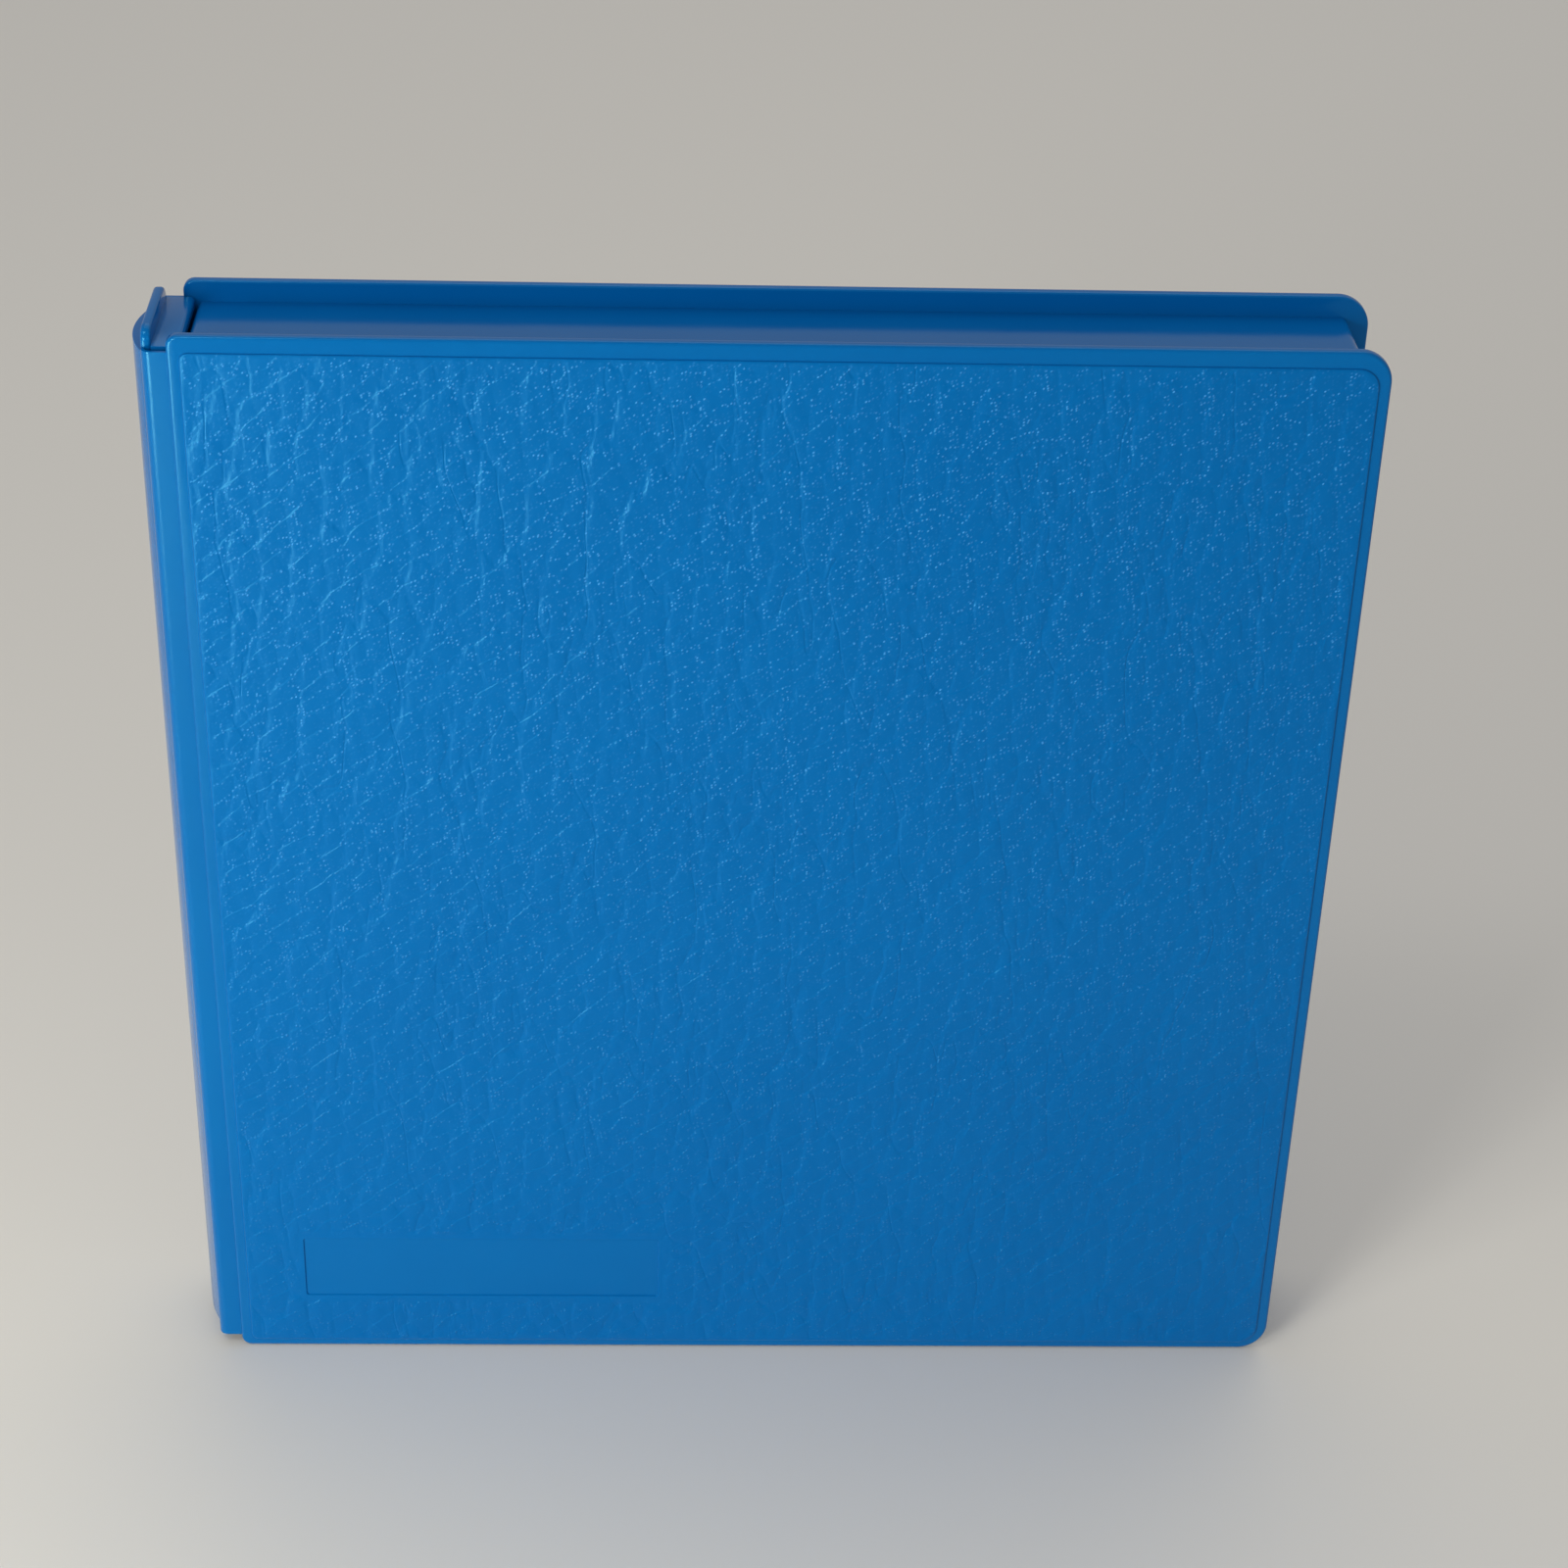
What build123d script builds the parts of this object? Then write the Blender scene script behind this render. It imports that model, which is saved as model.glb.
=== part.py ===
# Library case for 8 inch floppy disks, standing closed on its bottom edges like a book.
# X runs from the spine to the fore edge, Y from the front cover to the back cover, Z up.
# The origin is midway along X and Y at the surface that the case stands on.
import os
from math import pi, sqrt

from build123d import *

# Whole case
overall_width = 239.1
overall_depth = 29.4
cover_height = 246.0

# Covers
cover_thickness = 2.2
fore_corner_radius = 6.5
spine_corner_radius = 2.2
cover_outer_round = 0.7
cover_inner_round = 0.4

# Raised grain fields on the covers
field_rise = 0.4
field_spine_margin = 2.4
field_fore_margin = 2.4
field_top_margin = 3.3
field_bottom_margin = 2.0
field_spine_corner_radius = 1.5
field_edge_break = 0.15

# Sunk label place in the front field
label_width = 78.4
label_height = 16.4
label_from_spine_side = 12.7
label_from_bottom = 12.8
label_corner_radius = 0.8

# Spine plate and its convex outer field
spine_thickness = 2.0
spine_top_corner_round = 3.0
spine_bottom_corner_round = 2.2
spine_edge_round = 0.5
bow_rise = 2.9
bow_side_margin = 0.3
bow_end_margin = 4.5
bow_edge_round = 0.5

# Small walls that close the spine's ends
end_wall_reach = 5.3
end_wall_fore_round = 0.9
end_wall_thickness = 2.0
end_wall_drop = 3.2
end_wall_clearance = 0.4

# Living hinges
web_thickness = 0.7
web_setback = 1.0
web_bend_radius = 2.0
web_flat_width = 3.1
web_top_margin = 3.7
web_bottom_margin = 2.3

# Tray on the back cover
tray_wall = 2.0
tray_top_overhang = 4.3
tray_fore_overhang = 4.3
tray_spine_gap = 0.5
tray_front_clearance = 0.3
tray_corner_round = 0.8

# Locating lip inside the front cover
lip_thickness = 1.6
lip_reach = 5.0
lip_clearance = 0.4
lip_edge_round = 0.5
swing_clearance = 0.6

# Catch beads on the lip and their grooves in the tray
bead_length = 30.0
bead_radius = 0.8
bead_rise = 0.3
bead_height_share = 0.25
bead_from_cover = 3.2
groove_clearance = 0.3

# Places along X
fore_edge_x = overall_width / 2
spine_outer_x = -overall_width / 2 + bow_rise
spine_inner_x = spine_outer_x + spine_thickness
bend_centre_x = spine_outer_x + web_bend_radius
cover_spine_edge_x = bend_centre_x + web_flat_width
end_wall_tip_x = spine_inner_x + end_wall_reach
tray_spine_x = end_wall_tip_x + tray_spine_gap
tray_fore_x = fore_edge_x - tray_fore_overhang

# Places along Y, given for the back half and mirrored for the front
field_y = overall_depth / 2
cover_outer_y = field_y - field_rise
cover_inner_y = cover_outer_y - cover_thickness
web_outer_y = cover_outer_y - web_setback
bend_centre_y = web_outer_y - web_bend_radius
end_wall_y = cover_inner_y - end_wall_clearance
tray_front_y = -cover_inner_y + tray_front_clearance
lip_tip_y = -cover_inner_y + lip_reach
bead_y = -cover_inner_y + bead_from_cover

# Places along Z
tray_top_z = cover_height - tray_top_overhang
tray_bottom_z = tray_top_overhang
tray_inner_top_z = tray_top_z - tray_wall
tray_inner_bottom_z = tray_bottom_z + tray_wall
lip_top_z = tray_inner_top_z - lip_clearance
lip_bottom_z = tray_inner_bottom_z + lip_clearance
lip_fore_x = tray_fore_x - tray_wall - lip_clearance

# A web of constant length turns about this axis to a right angle without stretching
web_mid_radius = web_bend_radius - web_thickness / 2
hinge_axis_x = bend_centre_x - web_mid_radius * pi / 4
hinge_axis_y = bend_centre_y + web_mid_radius * pi / 4

# The lip's spine end, turning about the back hinge, passes the tray's spine wall
tray_inner_spine_x = tray_spine_x + tray_wall
swing_width = tray_inner_spine_x + swing_clearance - hinge_axis_x
swing_depth = hinge_axis_y - tray_front_y
lip_end_depth = hinge_axis_y - lip_tip_y
lip_spine_x = hinge_axis_x + sqrt(swing_width**2 + swing_depth**2 - lip_end_depth**2)


def block(low, high):
    # Box between two opposite corners
    size = [b - a for a, b in zip(low, high)]
    centre = [(a + b) / 2 for a, b in zip(low, high)]
    return Pos(*centre) * Box(*size)


def mirrored(shape):
    # The same shape on the other cover
    return shape.mirror(Plane.XZ)


def plate(low, high, spine_radius, fore_radius):
    # Upright plate across Y, with its own corner radius at each side
    solid = block(low, high)
    corners = solid.edges().filter_by(Axis.Y).sort_by(Axis.X)
    solid = fillet(corners[:2], spine_radius)
    corners = solid.edges().filter_by(Axis.Y).filter_by(GeomType.LINE).sort_by(Axis.X)
    return fillet(corners[-2:], fore_radius)


def cover():
    # Back cover plate, its outline rounded more on the outside than on the inside
    solid = plate(
        (cover_spine_edge_x, cover_inner_y, 0),
        (fore_edge_x, cover_outer_y, cover_height),
        spine_corner_radius,
        fore_corner_radius,
    )
    solid = fillet(solid.faces().sort_by(Axis.Y)[-1].edges(), cover_outer_round)
    return fillet(solid.faces().sort_by(Axis.Y)[0].edges(), cover_inner_round)


def grain_field():
    # Raised field of the back cover
    solid = plate(
        (cover_spine_edge_x + field_spine_margin, cover_outer_y, field_bottom_margin),
        (fore_edge_x - field_fore_margin, field_y, cover_height - field_top_margin),
        field_spine_corner_radius,
        fore_corner_radius - field_fore_margin,
    )
    return chamfer(solid.faces().sort_by(Axis.Y)[-1].edges(), field_edge_break)


def front_grain_field():
    # Front field with the smooth label place cut through to the cover
    low_x = cover_spine_edge_x + field_spine_margin + label_from_spine_side
    low_z = field_bottom_margin + label_from_bottom
    label = plate(
        (low_x, -field_y, low_z),
        (low_x + label_width, -cover_outer_y, low_z + label_height),
        label_corner_radius,
        label_corner_radius,
    )
    return mirrored(grain_field()) - label


def hinge_web():
    # Back living hinge: flat beside the cover, then a quarter turn to the spine plate
    bend = Circle(web_bend_radius) - Circle(web_bend_radius - web_thickness)
    quarter = Pos(-web_bend_radius / 2, web_bend_radius / 2) * Rectangle(web_bend_radius, web_bend_radius)
    flat_y = web_bend_radius - web_thickness / 2
    flat = Pos(web_flat_width / 2, flat_y) * Rectangle(web_flat_width, web_thickness)
    outline = Pos(bend_centre_x, bend_centre_y, web_bottom_margin) * ((bend & quarter) + flat)
    return extrude(outline, amount=cover_height - web_top_margin - web_bottom_margin, dir=(0, 0, 1))


def spine_plate():
    # Flat plate as tall as the covers, between the two hinge webs
    solid = block((spine_outer_x, -bend_centre_y, 0), (spine_inner_x, bend_centre_y, cover_height))
    corners = solid.edges().filter_by(Axis.X).sort_by(Axis.Z)
    solid = fillet(corners[:2], spine_bottom_corner_round)
    corners = solid.edges().filter_by(Axis.X).filter_by(GeomType.LINE).sort_by(Axis.Z)
    solid = fillet(corners[-2:], spine_top_corner_round)
    ends = [face for face in solid.faces().filter_by(Axis.Z)]
    return fillet([edge for face in ends for edge in face.edges().filter_by(Axis.Y)], spine_edge_round)


def spine_bow():
    # Convex field on the outside of the spine plate
    half = bend_centre_y - bow_side_margin
    start = (spine_outer_x, -half)
    finish = (spine_outer_x, half)
    curve = ThreePointArc(start, (spine_outer_x - bow_rise, 0), finish)
    outline = Pos(0, 0, bow_end_margin) * make_face([curve.edge(), Line(finish, start).edge()])
    solid = extrude(outline, amount=cover_height - 2 * bow_end_margin, dir=(0, 0, 1))
    arcs = solid.edges().filter_by(GeomType.CIRCLE)
    return fillet(arcs, bow_edge_round)


def outer_edges(wall, outer_z, inner_z):
    # The edges along Y of a level wall's outer face
    return wall.edges().filter_by(Axis.Y).group_by(Axis.Z)[-1 if outer_z > inner_z else 0]


def spine_end_wall(outer_z, inner_z):
    # Shelf from the spine plate towards the tray
    low = (spine_inner_x, -end_wall_y, min(outer_z, inner_z))
    high = (end_wall_tip_x, end_wall_y, max(outer_z, inner_z))
    solid = block(low, high)
    fore = outer_edges(solid, outer_z, inner_z).sort_by(Axis.X)[-1]
    return fillet(fore, end_wall_fore_round)


def tray_long_wall(outer_z, inner_z):
    # Top or bottom wall of the tray, as long as the tray
    low = (tray_spine_x, tray_front_y, min(outer_z, inner_z))
    high = (tray_fore_x, cover_inner_y, max(outer_z, inner_z))
    solid = block(low, high)
    return fillet(outer_edges(solid, outer_z, inner_z), tray_corner_round)


def tray_short_wall(low_x):
    # Spine-side or fore-edge wall of the tray, between the long walls
    low = (low_x, tray_front_y, tray_inner_bottom_z)
    high = (low_x + tray_wall, cover_inner_y, tray_inner_top_z)
    return block(low, high)


def bead_heights():
    # Middle height of the lower and the upper catch
    span = lip_top_z - lip_bottom_z
    return [lip_bottom_z + span * bead_height_share, lip_top_z - span * bead_height_share]


def catch_bead(middle_z):
    # Shallow half-round bead on the outside of the fore-edge lip
    centre_x = lip_fore_x + bead_rise - bead_radius
    rod = Pos(centre_x, bead_y, middle_z) * Cylinder(bead_radius, bead_length)
    outside = block(
        (lip_fore_x, bead_y - bead_radius, middle_z - bead_length / 2),
        (lip_fore_x + bead_radius, bead_y + bead_radius, middle_z + bead_length / 2),
    )
    return rod & outside


def catch_groove(middle_z):
    # Room for a bead in the tray's fore-edge wall
    centre_x = lip_fore_x + bead_rise - bead_radius
    length = bead_length + 2 * groove_clearance
    return Pos(centre_x, bead_y, middle_z) * Cylinder(bead_radius + lip_clearance, length)


def tray_fore_edge_wall():
    # Fore-edge wall with a groove for each catch bead
    solid = tray_short_wall(tray_fore_x - tray_wall)
    for middle_z in bead_heights():
        solid = solid - catch_groove(middle_z)
    return solid


def long_lip(outer_z, inner_z):
    # Top or bottom run of the locating lip
    low = (lip_spine_x, -cover_inner_y, min(outer_z, inner_z))
    high = (lip_fore_x, lip_tip_y, max(outer_z, inner_z))
    solid = block(low, high)
    tip = solid.edges().filter_by(Axis.X).group_by(Axis.Y)[-1]
    return fillet(tip, lip_edge_round)


def fore_edge_lip():
    # Fore-edge run of the locating lip, between the long runs
    low = (lip_fore_x - lip_thickness, -cover_inner_y, lip_bottom_z + lip_thickness)
    high = (lip_fore_x, lip_tip_y, lip_top_z - lip_thickness)
    solid = block(low, high)
    tip = solid.edges().filter_by(Axis.Z).group_by(Axis.Y)[-1]
    return fillet(tip, lip_edge_round)


def all_parts():
    # Every piece of the case by its name
    lower_z, upper_z = bead_heights()
    end_wall_top_z = cover_height - end_wall_drop
    return {
        "back_cover": cover(),
        "back_grain_field": grain_field(),
        "tray_top_wall": tray_long_wall(tray_top_z, tray_inner_top_z),
        "tray_bottom_wall": tray_long_wall(tray_bottom_z, tray_inner_bottom_z),
        "tray_spine_wall": tray_short_wall(tray_spine_x),
        "tray_fore_edge_wall": tray_fore_edge_wall(),
        "back_hinge_web": hinge_web(),
        "spine_plate": spine_plate(),
        "spine_bow": spine_bow(),
        "spine_top_wall": spine_end_wall(end_wall_top_z, end_wall_top_z - end_wall_thickness),
        "spine_bottom_wall": spine_end_wall(end_wall_drop, end_wall_drop + end_wall_thickness),
        "front_hinge_web": mirrored(hinge_web()),
        "front_cover": mirrored(cover()),
        "front_grain_field": front_grain_field(),
        "front_top_lip": long_lip(lip_top_z, lip_top_z - lip_thickness),
        "front_bottom_lip": long_lip(lip_bottom_z, lip_bottom_z + lip_thickness),
        "front_fore_edge_lip": fore_edge_lip(),
        "lower_catch_bead": catch_bead(lower_z),
        "upper_catch_bead": catch_bead(upper_z),
    }


os.makedirs("parts", exist_ok=True)
for name, shape in all_parts().items():
    export_step(shape, f"parts/{name}.step")
print(f"hinge axes at x {hinge_axis_x:.3f}, y {hinge_axis_y:.3f} and {-hinge_axis_y:.3f}")
print(f"disk space x {tray_inner_spine_x:.2f} to {lip_fore_x - lip_thickness:.2f}")
print(f"disk space z {lip_bottom_z + lip_thickness:.2f} to {lip_top_z - lip_thickness:.2f}")
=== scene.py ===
import math

import bmesh
import bpy
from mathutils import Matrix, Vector


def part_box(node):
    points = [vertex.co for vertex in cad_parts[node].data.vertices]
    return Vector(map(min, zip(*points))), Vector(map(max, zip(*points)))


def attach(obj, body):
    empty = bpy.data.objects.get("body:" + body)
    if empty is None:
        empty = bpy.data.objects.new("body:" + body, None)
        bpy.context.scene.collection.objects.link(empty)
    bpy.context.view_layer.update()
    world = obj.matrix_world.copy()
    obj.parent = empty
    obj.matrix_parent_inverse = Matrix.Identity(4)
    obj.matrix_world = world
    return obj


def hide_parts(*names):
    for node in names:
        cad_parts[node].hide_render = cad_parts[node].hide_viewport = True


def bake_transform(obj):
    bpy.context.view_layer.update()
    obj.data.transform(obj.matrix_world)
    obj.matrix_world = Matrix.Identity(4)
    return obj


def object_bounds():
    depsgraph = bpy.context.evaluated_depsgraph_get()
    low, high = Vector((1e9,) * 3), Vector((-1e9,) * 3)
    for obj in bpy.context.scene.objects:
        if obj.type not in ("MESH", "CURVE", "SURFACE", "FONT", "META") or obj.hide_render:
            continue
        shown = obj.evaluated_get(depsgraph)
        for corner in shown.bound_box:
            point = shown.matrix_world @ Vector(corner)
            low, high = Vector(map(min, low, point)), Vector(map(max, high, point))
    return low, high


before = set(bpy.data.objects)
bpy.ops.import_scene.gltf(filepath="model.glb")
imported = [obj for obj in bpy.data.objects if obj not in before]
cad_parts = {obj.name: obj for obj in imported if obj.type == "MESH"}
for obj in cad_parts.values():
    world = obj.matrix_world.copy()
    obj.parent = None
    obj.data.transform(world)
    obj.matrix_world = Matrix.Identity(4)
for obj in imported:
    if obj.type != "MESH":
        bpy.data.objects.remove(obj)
cadLow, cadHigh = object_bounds()
mm = 0.001
slack = 1e-5             # metres, two places this close count as one
fineSlack = 1e-6
floatNoise = 1e-7        # metres, error of a coordinate
print("case loaded,", len(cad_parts), "moulded parts")


# small helpers for edit mode

def startPiece(name):
    # names the primitive that was just added and opens it for editing
    piece = bpy.context.active_object
    piece.name = name
    piece.data.name = name
    bpy.ops.object.transform_apply(location=True, rotation=True, scale=True)
    bpy.ops.object.mode_set(mode="EDIT")
    bpy.ops.mesh.select_all(action="DESELECT")
    return piece


def endPiece(sharpAngle=35):
    # leaves edit mode; edges that turn by more than the angle in degrees stay sharp
    bpy.ops.object.mode_set(mode="OBJECT")
    bpy.ops.object.shade_smooth_by_angle(angle=math.radians(sharpAngle))


def middleOf(low, high):
    return [(a + b) / 2 for a, b in zip(low, high)]


def addBox(name, low, high):
    # a cube at its real size and place
    bpy.ops.object.select_all(action="DESELECT")
    size = [b - a for a, b in zip(low, high)]
    bpy.ops.mesh.primitive_cube_add(size=1, location=middleOf(low, high), scale=size)
    return startPiece(name)


def addRod(sides, radius, length, centre):
    # an upright cylinder
    bpy.ops.object.select_all(action="DESELECT")
    bpy.ops.mesh.primitive_cylinder_add(vertices=sides, radius=radius, depth=length, location=centre)
    return bpy.context.active_object


def pick(piece, kind, test):
    # selects the faces or edges that pass the test, and nothing else
    bpy.ops.mesh.select_all(action="DESELECT")
    bpy.ops.mesh.select_mode(type="EDGE" if kind == "edges" else "FACE")
    bm = bmesh.from_edit_mesh(piece.data)
    for item in bm.edges if kind == "edges" else bm.faces:
        if test(item):
            item.select_set(True)
    bmesh.update_edit_mesh(piece.data)


def edgeRuns(edge, axis):
    # true for an edge along the axis
    a, b = (v.co for v in edge.verts)
    span = [abs(a[i] - b[i]) for i in range(3)]
    return span[axis] > fineSlack and all(span[i] < floatNoise for i in range(3) if i != axis)


def near(value, target, within=slack):
    return abs(value - target) < within


def allNear(item, axis, value, within=slack):
    # true for an edge or face that lies wholly at one place on the axis
    return all(near(v.co[axis], value, within) for v in item.verts)


def faceEdges(piece, axis, value):
    # selects the outline of a flat face, given by its place on one axis
    pick(piece, "edges", lambda e: allNear(e, axis, value)
         and any(not allNear(f, axis, value) for f in e.link_faces))


def endEdges(piece, z, flatX):
    # selects the outline of a rod's end, but for its edge on the flat side
    pick(piece, "edges", lambda e: allNear(e, 2, z) and not allNear(e, 0, flatX))


def bevel(size, segments, clamp=True):
    bpy.ops.mesh.bevel(offset=size, segments=segments, affect="EDGES", clamp_overlap=clamp)


def cutFlat(x, drop):
    # cuts the piece off flat across X and drops what lies "below" or "above"
    bpy.ops.mesh.select_all(action="SELECT")
    bpy.ops.mesh.bisect(plane_co=(x, 0, 0), plane_no=(1, 0, 0), use_fill=True,
                        clear_inner=drop == "below", clear_outer=drop == "above")


def turnFacesOut():
    bpy.ops.mesh.select_all(action="SELECT")
    bpy.ops.mesh.normals_make_consistent(inside=False)


def cutAway(piece, cutter):
    # takes the cutter's shape out of the piece and leaves a smooth cut
    cutter.data.materials.append(smoothBlue)
    cut = piece.modifiers.new("cut", "BOOLEAN")
    cut.operation = "DIFFERENCE"
    cut.solver = "EXACT"
    cut.material_mode = "TRANSFER"
    cut.object = cutter
    bpy.context.view_layer.objects.active = piece
    bpy.ops.object.modifier_apply(modifier=cut.name)
    bpy.data.objects.remove(cutter)


# small helpers for node trees

def toLinear(hexColour):
    # sRGB hex to the linear values that the shader takes
    parts = [int(hexColour[i:i + 2], 16) / 255 for i in (1, 3, 5)]
    return [p / 12.92 if p <= 0.04045 else ((p + 0.055) / 1.055) ** 2.4 for p in parts] + [1.0]


def addNode(tree, kind, settings=None, links=None):
    # settings are inputs by name or number, or the node's own values; links are sockets to join
    node = tree.nodes.new(kind)
    for key, value in (settings or {}).items():
        if isinstance(key, int) or key in node.inputs:
            node.inputs[key].default_value = value
        else:
            setattr(node, key, value)
    for key, socket in (links or {}).items():
        tree.links.new(socket, node.inputs[key])
    return node


def times(tree, first, second):
    # product of two sockets
    return addNode(tree, "ShaderNodeMath", {"operation": "MULTIPLY"}, {0: first, 1: second}).outputs["Value"]


def weighted(tree, height, share, below):
    # height times its share, laid on the height below it
    added = addNode(tree, "ShaderNodeMath", {"operation": "MULTIPLY_ADD", 1: share}, {0: height, 2: below})
    return added.outputs["Value"]


def eased(tree, value, start, finish, low=0.0, high=1.0):
    # soft ramp from low to high while the value goes from start to finish
    ramp = addNode(tree, "ShaderNodeMapRange",
                   {"interpolation_type": "SMOOTHSTEP", "From Min": start, "From Max": finish,
                    "To Min": low, "To Max": high}, {"Value": value})
    return ramp.outputs["Result"]


def newMaterial(name):
    material = bpy.data.materials.new(name)
    material.use_nodes = True
    tree = material.node_tree
    tree.nodes.clear()
    return material, tree, addNode(tree, "ShaderNodeOutputMaterial")


def moulded(tree, place, s):
    # colour and roughness of a moulded wall, both drifting slowly with the pigment
    drift = addNode(tree, "ShaderNodeTexNoise", {"Scale": 1 / (s["mottle"] * mm), "Detail": 3.0},
                    {"Vector": place}).outputs["Fac"]
    colour = addNode(tree, "ShaderNodeMix",
                     {"data_type": "RGBA", 6: toLinear(s["deepColour"]), 7: toLinear(s["colour"])},
                     {"Factor": drift})
    rough = addNode(tree, "ShaderNodeMapRange",
                    {"To Min": s["roughness"][0], "To Max": s["roughness"][1]}, {"Value": drift})
    return colour.outputs[2], rough.outputs["Result"]


def joinPlastic(tree, output, s, colour, rough, height, depth):
    # depth in mm of a height of 1
    bump = addNode(tree, "ShaderNodeBump", {"Distance": depth * mm, "Strength": 1.0}, {"Height": height})
    shader = addNode(tree, "ShaderNodeBsdfPrincipled", {"IOR": s["ior"], "Specular Tint": s["gloss"]},
                     {"Base Color": colour, "Roughness": rough, "Normal": bump.outputs["Normal"]})
    tree.links.new(shader.outputs["BSDF"], output.inputs["Surface"])


# smooth plastic

smoothPlastic = {
    "colour": "#0064AD",          # pigmented blue
    "deepColour": "#005CA5",
    "ior": 1.49,                  # polypropylene
    "gloss": (0.2, 0.75, 1.0, 1.0),
    "roughness": (0.12, 0.18),
    "mottle": 34.0,               # mm, slow drift of the pigment
    "ripple": 6.0,                # mm, shrinkage ripple of a moulded wall
    "rippleDepth": 0.02,          # mm
    "skin": 0.35,                 # mm, fine texture of the mould's surface
    "skinDepth": 0.003,           # mm
}


def makeSmoothPolypropylene():
    # injection moulded polypropylene from a polished mould: waxy sheen, faint shrinkage ripple
    s = smoothPlastic
    material, tree, output = newMaterial("smoothMouldedPolypropylene")
    place = addNode(tree, "ShaderNodeTexCoord").outputs["Object"]
    colour, rough = moulded(tree, place, s)
    ripple = addNode(tree, "ShaderNodeTexNoise", {"Scale": 1 / (s["ripple"] * mm), "Detail": 1.0},
                     {"Vector": place})
    skin = addNode(tree, "ShaderNodeTexNoise", {"Scale": 1 / (s["skin"] * mm), "Detail": 2.0},
                   {"Vector": place})
    height = weighted(tree, skin.outputs["Fac"], s["skinDepth"] / s["rippleDepth"], ripple.outputs["Fac"])
    joinPlastic(tree, output, s, colour, rough, height, s["rippleDepth"])
    return material


# leather grain of the mould, in the mesh as soft relief and in the shader as fine lines

hide = {
    "fold": (4.8, 13.0),          # mm, spacing and length of the soft upright folds
    "pebble": (8.0, 3.6),         # mm, length and spacing of the short climbing folds
    "lean": 0.14,                 # how far the long folds lean over
    "climb": 0.62,                # how fast the short folds climb
    "wander": 0.6,                # of a fold, how crooked its lines are
    "wobble": 1.5,                # bends of a line to one fold
    "facing": (-0.5, 1.0),        # way that the pebbles rise, sideways and upwards
    "pillow": 0.22,               # of a fold's spacing, how far its rounded edge reaches in
    "pillowDepth": 0.10,          # mm
    "crease": (17.0, 60.0),       # mm, spacing and length of the long creases
    "creaseLayer": 3.7,           # layer of the noise that gives their lines
    "creaseWidth": 0.035,
    "creaseDepth": 0.07,          # mm
}


def stretched(tree, place, size, layer=0.0):
    # flat coordinates that lean and climb with the hide, counted in steps of the given size
    wide, tall = (step * mm for step in size)
    across = addNode(tree, "ShaderNodeVectorMath",
                     {"operation": "DOT_PRODUCT", 1: (1 / wide, 0.0, hide["lean"] / wide)}, {0: place})
    along = addNode(tree, "ShaderNodeVectorMath",
                    {"operation": "DOT_PRODUCT", 1: (-hide["climb"] / tall, 0.0, 1 / tall)}, {0: place})
    flat = addNode(tree, "ShaderNodeCombineXYZ", {"Z": layer},
                   {"X": across.outputs["Value"], "Y": along.outputs["Value"]})
    return flat.outputs["Vector"]


def crookedPlane(tree, place, size):
    # the same coordinates with crooked lines, one fold to a step
    flat = stretched(tree, place, size)
    wobble = addNode(tree, "ShaderNodeTexNoise", {"Scale": hide["wobble"], "Detail": 2.0, "Roughness": 0.5},
                     {"Vector": flat})
    shift = addNode(tree, "ShaderNodeVectorMath", {"operation": "SCALE", "Scale": hide["wander"]},
                    {0: wobble.outputs["Color"]})
    bent = addNode(tree, "ShaderNodeVectorMath", {"operation": "ADD"},
                   {0: flat, 1: shift.outputs["Vector"]})
    return bent.outputs["Vector"]


def fromEdge(tree, plane):
    # distance from the nearest line between two cells of the plane
    net = addNode(tree, "ShaderNodeTexVoronoi",
                  {"voronoi_dimensions": "2D", "feature": "DISTANCE_TO_EDGE", "Scale": 1.0},
                  {"Vector": plane})
    return net.outputs["Distance"]


def shingles(tree, plane, smooth):
    # every cell of the plane rises a little to one side and ends there in a small step
    cells = addNode(tree, "ShaderNodeTexVoronoi",
                    {"voronoi_dimensions": "2D", "feature": "SMOOTH_F1", "Smoothness": smooth, "Scale": 1.0},
                    {"Vector": plane})
    inside = addNode(tree, "ShaderNodeVectorMath", {"operation": "SUBTRACT"},
                     {0: plane, 1: cells.outputs["Position"]})
    rise = addNode(tree, "ShaderNodeVectorMath", {"operation": "DOT_PRODUCT", 1: (*hide["facing"], 0.0)},
                   {0: inside.outputs["Vector"]})
    return rise.outputs["Value"]


def longCreases(tree, place, width):
    # 0 in a long wandering crease and 1 beside it
    flat = stretched(tree, place, hide["crease"], hide["creaseLayer"])
    sway = addNode(tree, "ShaderNodeTexNoise", {"Scale": 1.0, "Detail": 3.0, "Roughness": 0.55},
                   {"Vector": flat})
    middle = addNode(tree, "ShaderNodeMath", {"operation": "SUBTRACT", 1: 0.5}, {0: sway.outputs["Fac"]})
    away = addNode(tree, "ShaderNodeMath", {"operation": "ABSOLUTE"}, {0: middle.outputs["Value"]})
    return eased(tree, away.outputs["Value"], 0.0, width)


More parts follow.
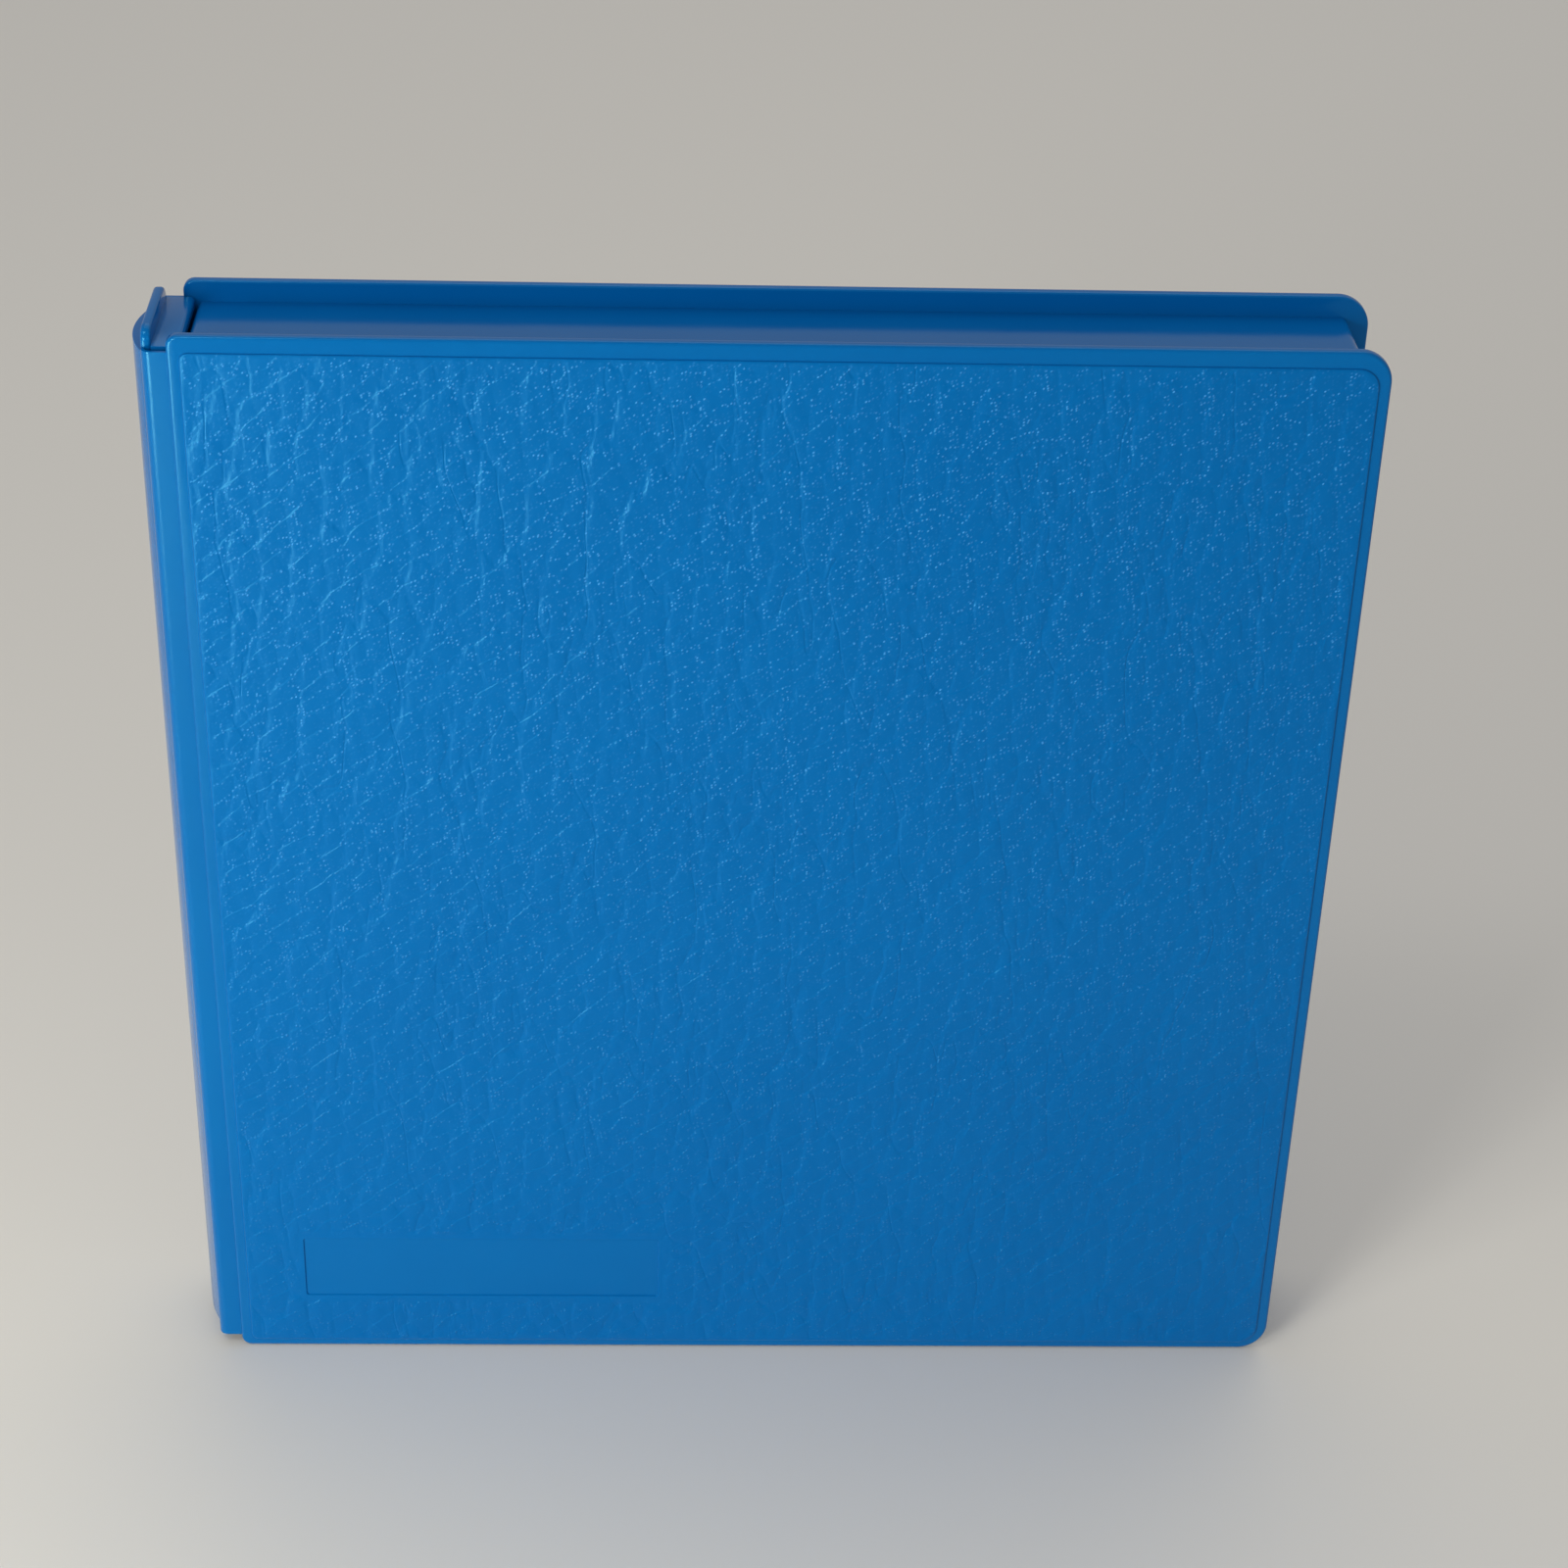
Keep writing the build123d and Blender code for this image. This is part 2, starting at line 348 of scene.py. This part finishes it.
def makeRelief():
    # geometry nodes that press pillows and long creases into a field, and never rise above it
    tree = bpy.data.node_groups.new("hideRelief", "GeometryNodeTree")
    for way in ("INPUT", "OUTPUT"):
        tree.interface.new_socket("Geometry", in_out=way, socket_type="NodeSocketGeometry")
    source = addNode(tree, "NodeGroupInput")
    place = addNode(tree, "GeometryNodeInputPosition").outputs["Position"]
    outward = addNode(tree, "GeometryNodeInputNormal").outputs["Normal"]
    leather = addNode(tree, "GeometryNodeInputNamedAttribute", {"data_type": "FLOAT", "Name": "leather"})
    edge = fromEdge(tree, crookedPlane(tree, place, hide["fold"]))
    pillow = eased(tree, edge, 0.0, hide["pillow"])
    crease = longCreases(tree, place, hide["creaseWidth"])
    full = (hide["pillowDepth"] + hide["creaseDepth"]) * mm
    base = addNode(tree, "ShaderNodeMath",
                   {"operation": "MULTIPLY_ADD", 1: hide["pillowDepth"] * mm, 2: -full}, {0: pillow})
    height = weighted(tree, crease, hide["creaseDepth"] * mm, base.outputs["Value"])
    faded = times(tree, height, leather.outputs["Attribute"])
    step = addNode(tree, "ShaderNodeVectorMath", {"operation": "SCALE"}, {0: outward, "Scale": faded})
    moved = addNode(tree, "GeometryNodeSetPosition", None,
                    {"Geometry": source.outputs["Geometry"], "Offset": step.outputs["Vector"]})
    addNode(tree, "NodeGroupOutput", None, {"Geometry": moved.outputs["Geometry"]})
    return tree


grainPlastic = {
    "colour": "#0064AE",
    "deepColour": "#005CA5",
    "paintedGlintColour": "#4595E1",    # painted highlight: paler speck tips that stand in for glints
    "ior": 1.49,
    "gloss": (0.12, 0.62, 1.0, 1.0),
    "roughness": (0.25, 0.31),
    "mottle": 50.0,               # mm
    "stepDepth": 0.05,            # mm, step at the edge of a pebble
    "stepSmooth": 0.3,
    "wrinkleDepth": 0.13,         # mm, soft step at the edge of an upright fold
    "wrinkleSmooth": 0.5,
    "creaseWidth": 0.018,
    "creaseDepth": 0.05,          # mm
    "speckSize": (0.85, 0.75),    # mm, spacing of the fine specks
    "speckReach": (0.05, 0.42),   # of the spacing, from a speck's flat top to its foot
    "speckShare": (0.35, 1.0),    # the smaller specks are left out
    "speckLine": (0.05, 0.2),     # of a pebble, how far from its edge they stand
    "speckOpen": 0.15,            # what is left of them on the open pebbles
    "speckDepth": 0.09,           # mm
    "paintedGlintHeight": (20.0, 200.0),    # mm, painted highlight: the specks are painted paler from here up to there, standing in for glints towards the top
    "paintedGlintLeast": 0.15,
}


def specks(tree, place, plane, s):
    # fine round specks of all heights, strung along the edges of the pebbles
    cells = addNode(tree, "ShaderNodeTexVoronoi",
                    {"voronoi_dimensions": "2D", "feature": "F1", "Scale": 1.0},
                    {"Vector": stretched(tree, place, s["speckSize"])})
    dot = eased(tree, cells.outputs["Distance"], *s["speckReach"], 1.0, 0.0)
    chance = addNode(tree, "ShaderNodeSeparateColor", None, {"Color": cells.outputs["Color"]})
    share = addNode(tree, "ShaderNodeMapRange",
                    {"From Min": s["speckShare"][0], "From Max": s["speckShare"][1]},
                    {"Value": chance.outputs["Red"]})
    line = eased(tree, fromEdge(tree, plane), *s["speckLine"], 1.0, s["speckOpen"])
    return times(tree, times(tree, dot, share.outputs["Result"]), line)


def makeGrainedPolypropylene():
    # the same plastic from a mould etched like leather: pebbles, wrinkles, creases and specks
    s = grainPlastic
    material, tree, output = newMaterial("leatherGrainPolypropylene")
    place = addNode(tree, "ShaderNodeTexCoord").outputs["Object"]
    leather = addNode(tree, "ShaderNodeAttribute", {"attribute_name": "leather"}).outputs["Fac"]
    pebbles = crookedPlane(tree, place, hide["pebble"])
    step = shingles(tree, pebbles, s["stepSmooth"])
    wrinkle = shingles(tree, crookedPlane(tree, place, hide["fold"]), s["wrinkleSmooth"])
    spotted = specks(tree, place, pebbles, s)
    start = addNode(tree, "ShaderNodeMath", {"operation": "MULTIPLY", 1: s["stepDepth"]}, {0: step})
    height = weighted(tree, wrinkle, s["wrinkleDepth"], start.outputs["Value"])
    height = weighted(tree, longCreases(tree, place, s["creaseWidth"]), s["creaseDepth"], height)
    height = times(tree, weighted(tree, spotted, s["speckDepth"], height), leather)
    # painted highlight: the specks are painted paler, more so towards the top, in place of glints
    level = addNode(tree, "ShaderNodeSeparateXYZ", None, {"Vector": place})
    glintByHeight = addNode(tree, "ShaderNodeMapRange",
                   {"From Min": s["paintedGlintHeight"][0] * mm, "From Max": s["paintedGlintHeight"][1] * mm,
                    "To Min": s["paintedGlintLeast"]}, {"Value": level.outputs["Z"]})
    paintedGlint = times(tree, times(tree, spotted, leather), glintByHeight.outputs["Result"])
    colour, rough = moulded(tree, place, s)
    glintedColour = addNode(tree, "ShaderNodeMix", {"data_type": "RGBA", 7: toLinear(s["paintedGlintColour"])},
                     {"Factor": paintedGlint, 6: colour})
    joinPlastic(tree, output, s, glintedColour.outputs[2], rough, height, 1.0)
    return material


smoothBlue = makeSmoothPolypropylene()
grainedBlue = makeGrainedPolypropylene()
hideRelief = makeRelief()
print("materials made")


def dress(piece, body, slot, material, *nodes):
    # gives a piece its finish, lets it ride on its body and stand for its moulded nodes
    if not piece.data.materials:
        piece.data.materials.append(material)
    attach(piece, body)
    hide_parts(*nodes)


def outerInner(low, high, side):
    # a plate's outer and inner place on Y, where side is -1 for the front and 1 for the back
    return (high[1], low[1]) if side > 0 else (low[1], high[1])


# covers, each round as its radius and its number of steps

cover = {
    "foreCorner": (6.5 * mm, 14),
    "spineCorner": (2.2 * mm, 6),
    "outerRound": (0.7 * mm, 5),
    "innerRound": (0.4 * mm, 3),
}


def makeCover(name, body, side):
    low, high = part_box(name)
    outer, inner = outerInner(low, high, side)
    piece = addBox(name + "Shell", low, high)
    pick(piece, "edges", lambda e: edgeRuns(e, 1) and e.verts[0].co.x > 0)
    bevel(*cover["foreCorner"])
    pick(piece, "edges", lambda e: edgeRuns(e, 1) and near(e.verts[0].co.x, low[0]))
    bevel(*cover["spineCorner"])
    faceEdges(piece, 1, outer)
    bevel(*cover["outerRound"])
    faceEdges(piece, 1, inner)
    bevel(*cover["innerRound"])
    endPiece()
    dress(piece, body, "smooth_polypropylene", smoothBlue, name)


makeCover("front_cover", "front", -1)
makeCover("back_cover", "back", 1)
print("covers made")


# grain fields

field = {
    "steps": (290, 310),          # grid squares across and up
    "foreCorner": 4.1 * mm,
    "spineCorner": 1.5 * mm,
    "edgeRound": (0.32 * mm, 3),
    "rimTurn": 1.2,               # radians, only the rim turns by more than this
    "sharpAngle": 60,             # degrees
    "fade": 1.1 * mm,             # the grain dies out over this width at an edge
}

label = {
    "size": (78.4 * mm, 16.4 * mm),
    "fromSpineSide": 12.7 * mm,
    "fromBottom": 12.8 * mm,
    "corner": (0.8 * mm, 6),
    "cutter": (2.0 * mm, 0.01 * mm),    # from here to there in front of the field, before its steps
    "steps": ((0.06, 0.03), (0.06, 0.07), (0.10, 0.23), (0.05, 0.03)),    # mm in and down from the rim
    "border": 0.8 * mm,           # smooth border round it
}


def roundCorner(piece, corner, inwards, radius):
    # moves the squares at a corner of the grid onto a quarter circle
    centre = [corner[i] + inwards[i] * radius for i in range(2)]
    bm = bmesh.from_edit_mesh(piece.data)
    for vert in bm.verts:
        a = (centre[0] - vert.co.x) * inwards[0] / radius
        b = (centre[1] - vert.co.z) * inwards[1] / radius
        if a <= 0 or b <= 0:
            continue
        reach, turn = max(a, b) * radius, math.atan2(b, a)
        vert.co.x = centre[0] - inwards[0] * reach * math.cos(turn)
        vert.co.z = centre[1] - inwards[1] * reach * math.sin(turn)
    bmesh.update_edit_mesh(piece.data)


def labelPlace(low):
    # left, right, bottom and top of the label place on the front field
    x, z = low[0] + label["fromSpineSide"], low[2] + label["fromBottom"]
    return x, x + label["size"][0], z, z + label["size"][1]


def outsideBox(co, place):
    # how far a point lies outside a rectangle, less than zero inside it
    x0, x1, z0, z1 = place
    return max(x0 - co.x, co.x - x1, z0 - co.z, co.z - z1)


def paintLeather(piece, low, high, place):
    # the grain fades out at the outline and round the label place
    leather = piece.data.attributes.new("leather", "FLOAT", "POINT")
    outline = (low[0], high[0], low[2], high[2])
    for vert in piece.data.vertices:
        reach = -outsideBox(vert.co, outline)
        if place:
            reach = min(reach, outsideBox(vert.co, place) - label["border"])
        leather.data[vert.index].value = min(max(reach / field["fade"], 0), 1)


def closeSheet(piece, outer, inner):
    # side walls down to the cover, a back face and a round outer edge
    bpy.ops.object.mode_set(mode="EDIT")
    pick(piece, "edges", lambda e: len(e.link_faces) == 1)
    bpy.ops.mesh.extrude_region_move(TRANSFORM_OT_translate={"value": (0, inner - outer, 0)})
    bpy.ops.mesh.edge_face_add()
    turnFacesOut()
    pick(piece, "edges", lambda e: allNear(e, 1, outer, fineSlack)
         and e.calc_face_angle(0) > field["rimTurn"])
    bevel(*field["edgeRound"], clamp=False)


def sinkLabel(piece, place, outer):
    # cuts the label place with leaning walls and a soft rim
    x0, x1, z0, z1 = place
    far, close = label["cutter"]
    cutter = addBox("labelCutter", (x0, outer - far, z0), (x1, outer - close, z1))
    pick(cutter, "edges", lambda e: edgeRuns(e, 1))
    bevel(*label["corner"])
    pick(cutter, "faces", lambda f: near(f.normal.y, 1))
    for inwards, down in label["steps"]:
        bpy.ops.mesh.inset(thickness=inwards * mm, depth=down * mm)
    bpy.ops.object.mode_set(mode="OBJECT")
    piece.data.materials.append(grainedBlue)
    cutAway(piece, cutter)


def makeField(name, body, side):
    low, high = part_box(name)
    outer, inner = outerInner(low, high, side)
    across, _, up = middleOf(low, high)
    bpy.ops.object.select_all(action="DESELECT")
    bpy.ops.mesh.primitive_grid_add(
        x_subdivisions=field["steps"][0], y_subdivisions=field["steps"][1], size=1,
        location=(across, outer, up), rotation=(math.radians(-90 * side), 0, 0))
    bpy.context.active_object.scale = (high[0] - low[0], high[2] - low[2], 1)
    piece = startPiece(name + "Leather")
    place = labelPlace(low) if side < 0 else None
    bpy.ops.object.mode_set(mode="OBJECT")
    paintLeather(piece, low, high, place)
    bpy.ops.object.mode_set(mode="EDIT")
    for cornerZ, inwards in ((low[2], 1), (high[2], -1)):
        roundCorner(piece, (high[0], cornerZ), (-1, inwards), field["foreCorner"])
        roundCorner(piece, (low[0], cornerZ), (1, inwards), field["spineCorner"])
    bpy.ops.object.mode_set(mode="OBJECT")
    relief = piece.modifiers.new("relief", "NODES")
    relief.node_group = hideRelief
    bpy.ops.object.modifier_apply(modifier=relief.name)
    closeSheet(piece, outer, inner)
    endPiece(field["sharpAngle"])
    if place:
        sinkLabel(piece, place, outer)
    dress(piece, body, "grained_polypropylene", grainedBlue, name)


makeField("front_grain_field", "front", -1)
makeField("back_grain_field", "back", 1)
print("grain fields made")


# spine

spine = {
    "topCorner": (3.0 * mm, 8),
    "bottomCorner": (2.2 * mm, 8),
    "edgeRound": (0.6 * mm, 3),
    "wallForeRound": (0.9 * mm, 6),
    "wallEdgeRound": (0.25 * mm, 3),
    "bowRound": (0.8 * mm, 4),
    "bowSides": 288,
}


def makeSpinePlate():
    low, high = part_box("spine_plate")
    piece = addBox("spinePlateShell", low, high)
    for z, corner in ((low[2], "bottomCorner"), (high[2], "topCorner")):
        pick(piece, "edges", lambda e: edgeRuns(e, 0) and near(e.verts[0].co.z, z))
        bevel(*spine[corner])
    for x in (low[0], high[0]):
        faceEdges(piece, 0, x)
        bevel(*spine["edgeRound"])
    endPiece()
    dress(piece, "spine", "smooth_polypropylene", smoothBlue, "spine_plate")


def makeSpineBow():
    # slice of a wide upright cylinder
    low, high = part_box("spine_bow")
    rise = high[0] - low[0]
    half = (high[1] - low[1]) / 2
    radius = (half * half + rise * rise) / (2 * rise)
    addRod(spine["bowSides"], radius, high[2] - low[2], (low[0] + radius, 0, (low[2] + high[2]) / 2))
    piece = startPiece("spineBowShell")
    cutFlat(high[0], "above")
    for z in (low[2], high[2]):
        endEdges(piece, z, high[0])
        bevel(*spine["bowRound"])
    endPiece()
    dress(piece, "spine", "smooth_polypropylene", smoothBlue, "spine_bow")


def makeEndWall(name):
    low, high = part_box(name)
    outer = high[2] if low[2] > cadHigh[2] / 2 else low[2]
    piece = addBox(name + "Shell", low, high)
    pick(piece, "edges", lambda e: edgeRuns(e, 1) and near(e.verts[0].co.x, high[0])
         and near(e.verts[0].co.z, outer))
    bevel(*spine["wallForeRound"])
    pick(piece, "edges", lambda e: edgeRuns(e, 0) and near(e.verts[0].co.z, outer))
    bevel(*spine["wallEdgeRound"])
    endPiece()
    dress(piece, "spine", "smooth_polypropylene", smoothBlue, name)


makeSpinePlate()
makeSpineBow()
makeEndWall("spine_top_wall")
makeEndWall("spine_bottom_wall")
print("spine made")


# living hinges

web = {
    "thickness": 0.7 * mm,
    "bendRadius": 2.0 * mm,       # outside of the bend
    "turns": 10,
}


def makeWeb(name, side):
    # flat strip beside the cover, then a quarter turn to the spine plate
    low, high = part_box(name)
    centreX = low[0] + web["bendRadius"]
    outer = high[1] if side > 0 else low[1]
    centreY = outer - side * web["bendRadius"]
    inner = outer - side * web["thickness"]
    piece = addBox(name + "Shell", (centreX, min(outer, inner), low[2]),
                   (high[0], max(outer, inner), high[2]))
    pick(piece, "faces", lambda f: near(f.calc_center_median().x, centreX))
    bpy.ops.mesh.spin(steps=web["turns"], angle=math.radians(-90) * side,
                      center=(centreX, centreY, 0), axis=(0, 0, 1))
    bpy.ops.mesh.select_all(action="SELECT")
    bpy.ops.mesh.remove_doubles(threshold=fineSlack)
    turnFacesOut()
    endPiece()
    piece.data.materials.append(smoothBlue)
    if side > 0:
        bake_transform(piece)
    else:
        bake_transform(piece)
    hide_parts(name)


makeWeb("front_hinge_web", -1)
makeWeb("back_hinge_web", 1)
print("living hinges made")


# tray, with the grooves of the catches

tray = {
    "wall": 2.0 * mm,
    "cornerRound": (1.4 * mm, 6),
    "rimRound": (0.45 * mm, 3),
}

catch = {
    "beadRadius": 0.8 * mm,
    "beadSides": 64,
    "beadEndRound": (0.25 * mm, 3),
    "grooveRadius": 1.2 * mm,
    "grooveSides": 48,
    "grooveExtra": 0.3 * mm,      # room at each end of a bead
}


def groupBox(nodes):
    lows, highs = zip(*(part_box(node) for node in nodes))
    return [min(v) for v in zip(*lows)], [max(v) for v in zip(*highs)]


def ringFrame(piece, low, high, wall):
    # opens a box from front to back and leaves walls all round
    for y in (low[1], high[1]):
        pick(piece, "faces", lambda f: allNear(f, 1, y))
        bpy.ops.mesh.inset(thickness=wall, depth=0)
        bpy.ops.mesh.delete(type="FACE")
    pick(piece, "edges", lambda e: len(e.link_faces) == 1)
    bpy.ops.mesh.bridge_edge_loops()
    turnFacesOut()


def beadCentre(low, high):
    # middle of the rod that the bead is a slice of
    _, y, z = middleOf(low, high)
    return high[0] - catch["beadRadius"], y, z


def cutGroove(piece, beadNode):
    # a shallow groove that a catch bead sits in
    low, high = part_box(beadNode)
    length = high[2] - low[2] + 2 * catch["grooveExtra"]
    cutAway(piece, addRod(catch["grooveSides"], catch["grooveRadius"], length, beadCentre(low, high)))


def makeTray():
    nodes = ["tray_top_wall", "tray_bottom_wall", "tray_spine_wall", "tray_fore_edge_wall"]
    low, high = groupBox(nodes)
    piece = addBox("trayFrame", low, high)
    pick(piece, "edges", lambda e: edgeRuns(e, 1))
    bevel(*tray["cornerRound"])
    ringFrame(piece, low, high, tray["wall"])
    faceEdges(piece, 1, low[1])
    bevel(*tray["rimRound"])
    bpy.ops.object.mode_set(mode="OBJECT")
    piece.data.materials.append(smoothBlue)
    for bead in ("lower_catch_bead", "upper_catch_bead"):
        cutGroove(piece, bead)
    endPiece()
    dress(piece, "back", "smooth_polypropylene", smoothBlue, *nodes)


makeTray()
print("tray made")


# locating lip and catch beads

lip = {
    "wall": 1.6 * mm,
    "cornerRound": (1.8 * mm, 6),
    "tipRound": (0.5 * mm, 3),
    "extraLength": 20.0 * mm,     # the ring is made long and cut open at the spine end
}


def makeLip():
    nodes = ["front_top_lip", "front_bottom_lip", "front_fore_edge_lip"]
    low, high = groupBox(nodes)
    longLow = [low[0] - lip["extraLength"], low[1], low[2]]
    piece = addBox("locatingLip", longLow, high)
    pick(piece, "edges", lambda e: edgeRuns(e, 1) and e.verts[0].co.x > 0)
    bevel(*lip["cornerRound"])
    ringFrame(piece, longLow, high, lip["wall"])
    faceEdges(piece, 1, high[1])
    bevel(*lip["tipRound"])
    cutFlat(low[0], "below")
    endPiece()
    dress(piece, "front", "smooth_polypropylene", smoothBlue, *nodes)


def makeBead(name):
    # shallow slice of a rod, on the outside of the lip
    low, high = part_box(name)
    addRod(catch["beadSides"], catch["beadRadius"], high[2] - low[2], beadCentre(low, high))
    piece = startPiece(name + "Shell")
    cutFlat(low[0], "below")
    for z in (low[2], high[2]):
        endEdges(piece, z, low[0])
        bevel(*catch["beadEndRound"])
    endPiece()
    dress(piece, "front", "smooth_polypropylene", smoothBlue, name)


makeLip()
makeBead("lower_catch_bead")
makeBead("upper_catch_bead")
print("lip and catches made")


# floor, lights and camera

studio = {
    "floorColour": "#E5E2DD",
    "floorRoughness": 0.55,
    "floorSize": 12.0,            # metres
    "floorDrop": 0.2 * mm,        # the case's foot stays clear of the floor
    "worldColour": "#E2E1DE",
    "worldStrength": 0.52,
    "aim": (0.0, 0.0, 0.1),       # metres, where the lamps look
}

# places and sizes in metres; in front on the left, low like light off the table,
# high for the bright line on the upper edges, and over and behind the case
lamps = {
    "key": {"place": (-0.42, -0.68, 0.40), "size": 0.2, "power": 2.1, "colour": (1.0, 0.98, 0.93)},
    "fill": {"place": (-0.40, -0.47, 0.08), "size": 0.24, "power": 2.3, "colour": (1.0, 0.98, 0.78)},
    "high": {"place": (-0.36, -0.42, 1.02), "size": 0.2, "power": 1.0, "colour": (1.0, 0.98, 0.95)},
    "ceiling": {"place": (0.2, 0.9, 1.9), "size": 1.8, "power": 7.5, "colour": (1.0, 1.0, 1.0)},
}

photoCamera = {
    "place": (-0.01668, -0.58777, 0.50226),
    "turn": (58.405, -1.480, -1.401),    # degrees
    "lens": 76.35,                # mm
    "sensor": 36.0,               # mm
}


def makeFloor():
    bpy.ops.object.select_all(action="DESELECT")
    bpy.ops.mesh.primitive_plane_add(size=studio["floorSize"], location=(0, 0, -studio["floorDrop"]))
    floor = bpy.context.active_object
    floor.name = "paleFloor"
    # pale laminate table top
    material, tree, output = newMaterial("paleLaminate")
    shader = addNode(tree, "ShaderNodeBsdfPrincipled", {"Base Color": toLinear(studio["floorColour"]),
                                                        "Roughness": studio["floorRoughness"]})
    tree.links.new(shader.outputs["BSDF"], output.inputs["Surface"])
    floor.data.materials.append(material)


def makeLamp(name, s):
    # a square softbox turned towards the case
    light = bpy.data.lights.new(name + "Softbox", "AREA")
    light.size = s["size"]
    light.energy = s["power"]
    light.color = s["colour"]
    lamp = bpy.data.objects.new(name + "Softbox", light)
    bpy.context.scene.collection.objects.link(lamp)
    lamp.location = s["place"]
    aim = Vector(studio["aim"]) - lamp.location
    lamp.rotation_euler = aim.to_track_quat("-Z", "Y").to_euler()


def makeWorld():
    world = bpy.data.worlds.new("studioAir")
    bpy.context.scene.world = world
    world.use_nodes = True
    background = world.node_tree.nodes["Background"]
    background.inputs["Color"].default_value = toLinear(studio["worldColour"])
    background.inputs["Strength"].default_value = studio["worldStrength"]


def makeCamera():
    # the view of the photograph, fitted to the case's edges
    data = bpy.data.cameras.new("photoCamera")
    data.lens = photoCamera["lens"]
    data.sensor_width = photoCamera["sensor"]
    camera = bpy.data.objects.new("photoCamera", data)
    bpy.context.scene.collection.objects.link(camera)
    camera.location = photoCamera["place"]
    camera.rotation_euler = [math.radians(a) for a in photoCamera["turn"]]
    bpy.context.scene.camera = camera


makeFloor()
for lampName, lampSettings in lamps.items():
    makeLamp(lampName, lampSettings)
makeWorld()
makeCamera()
bpy.context.scene.view_settings.view_transform = "Standard"
print("studio made")
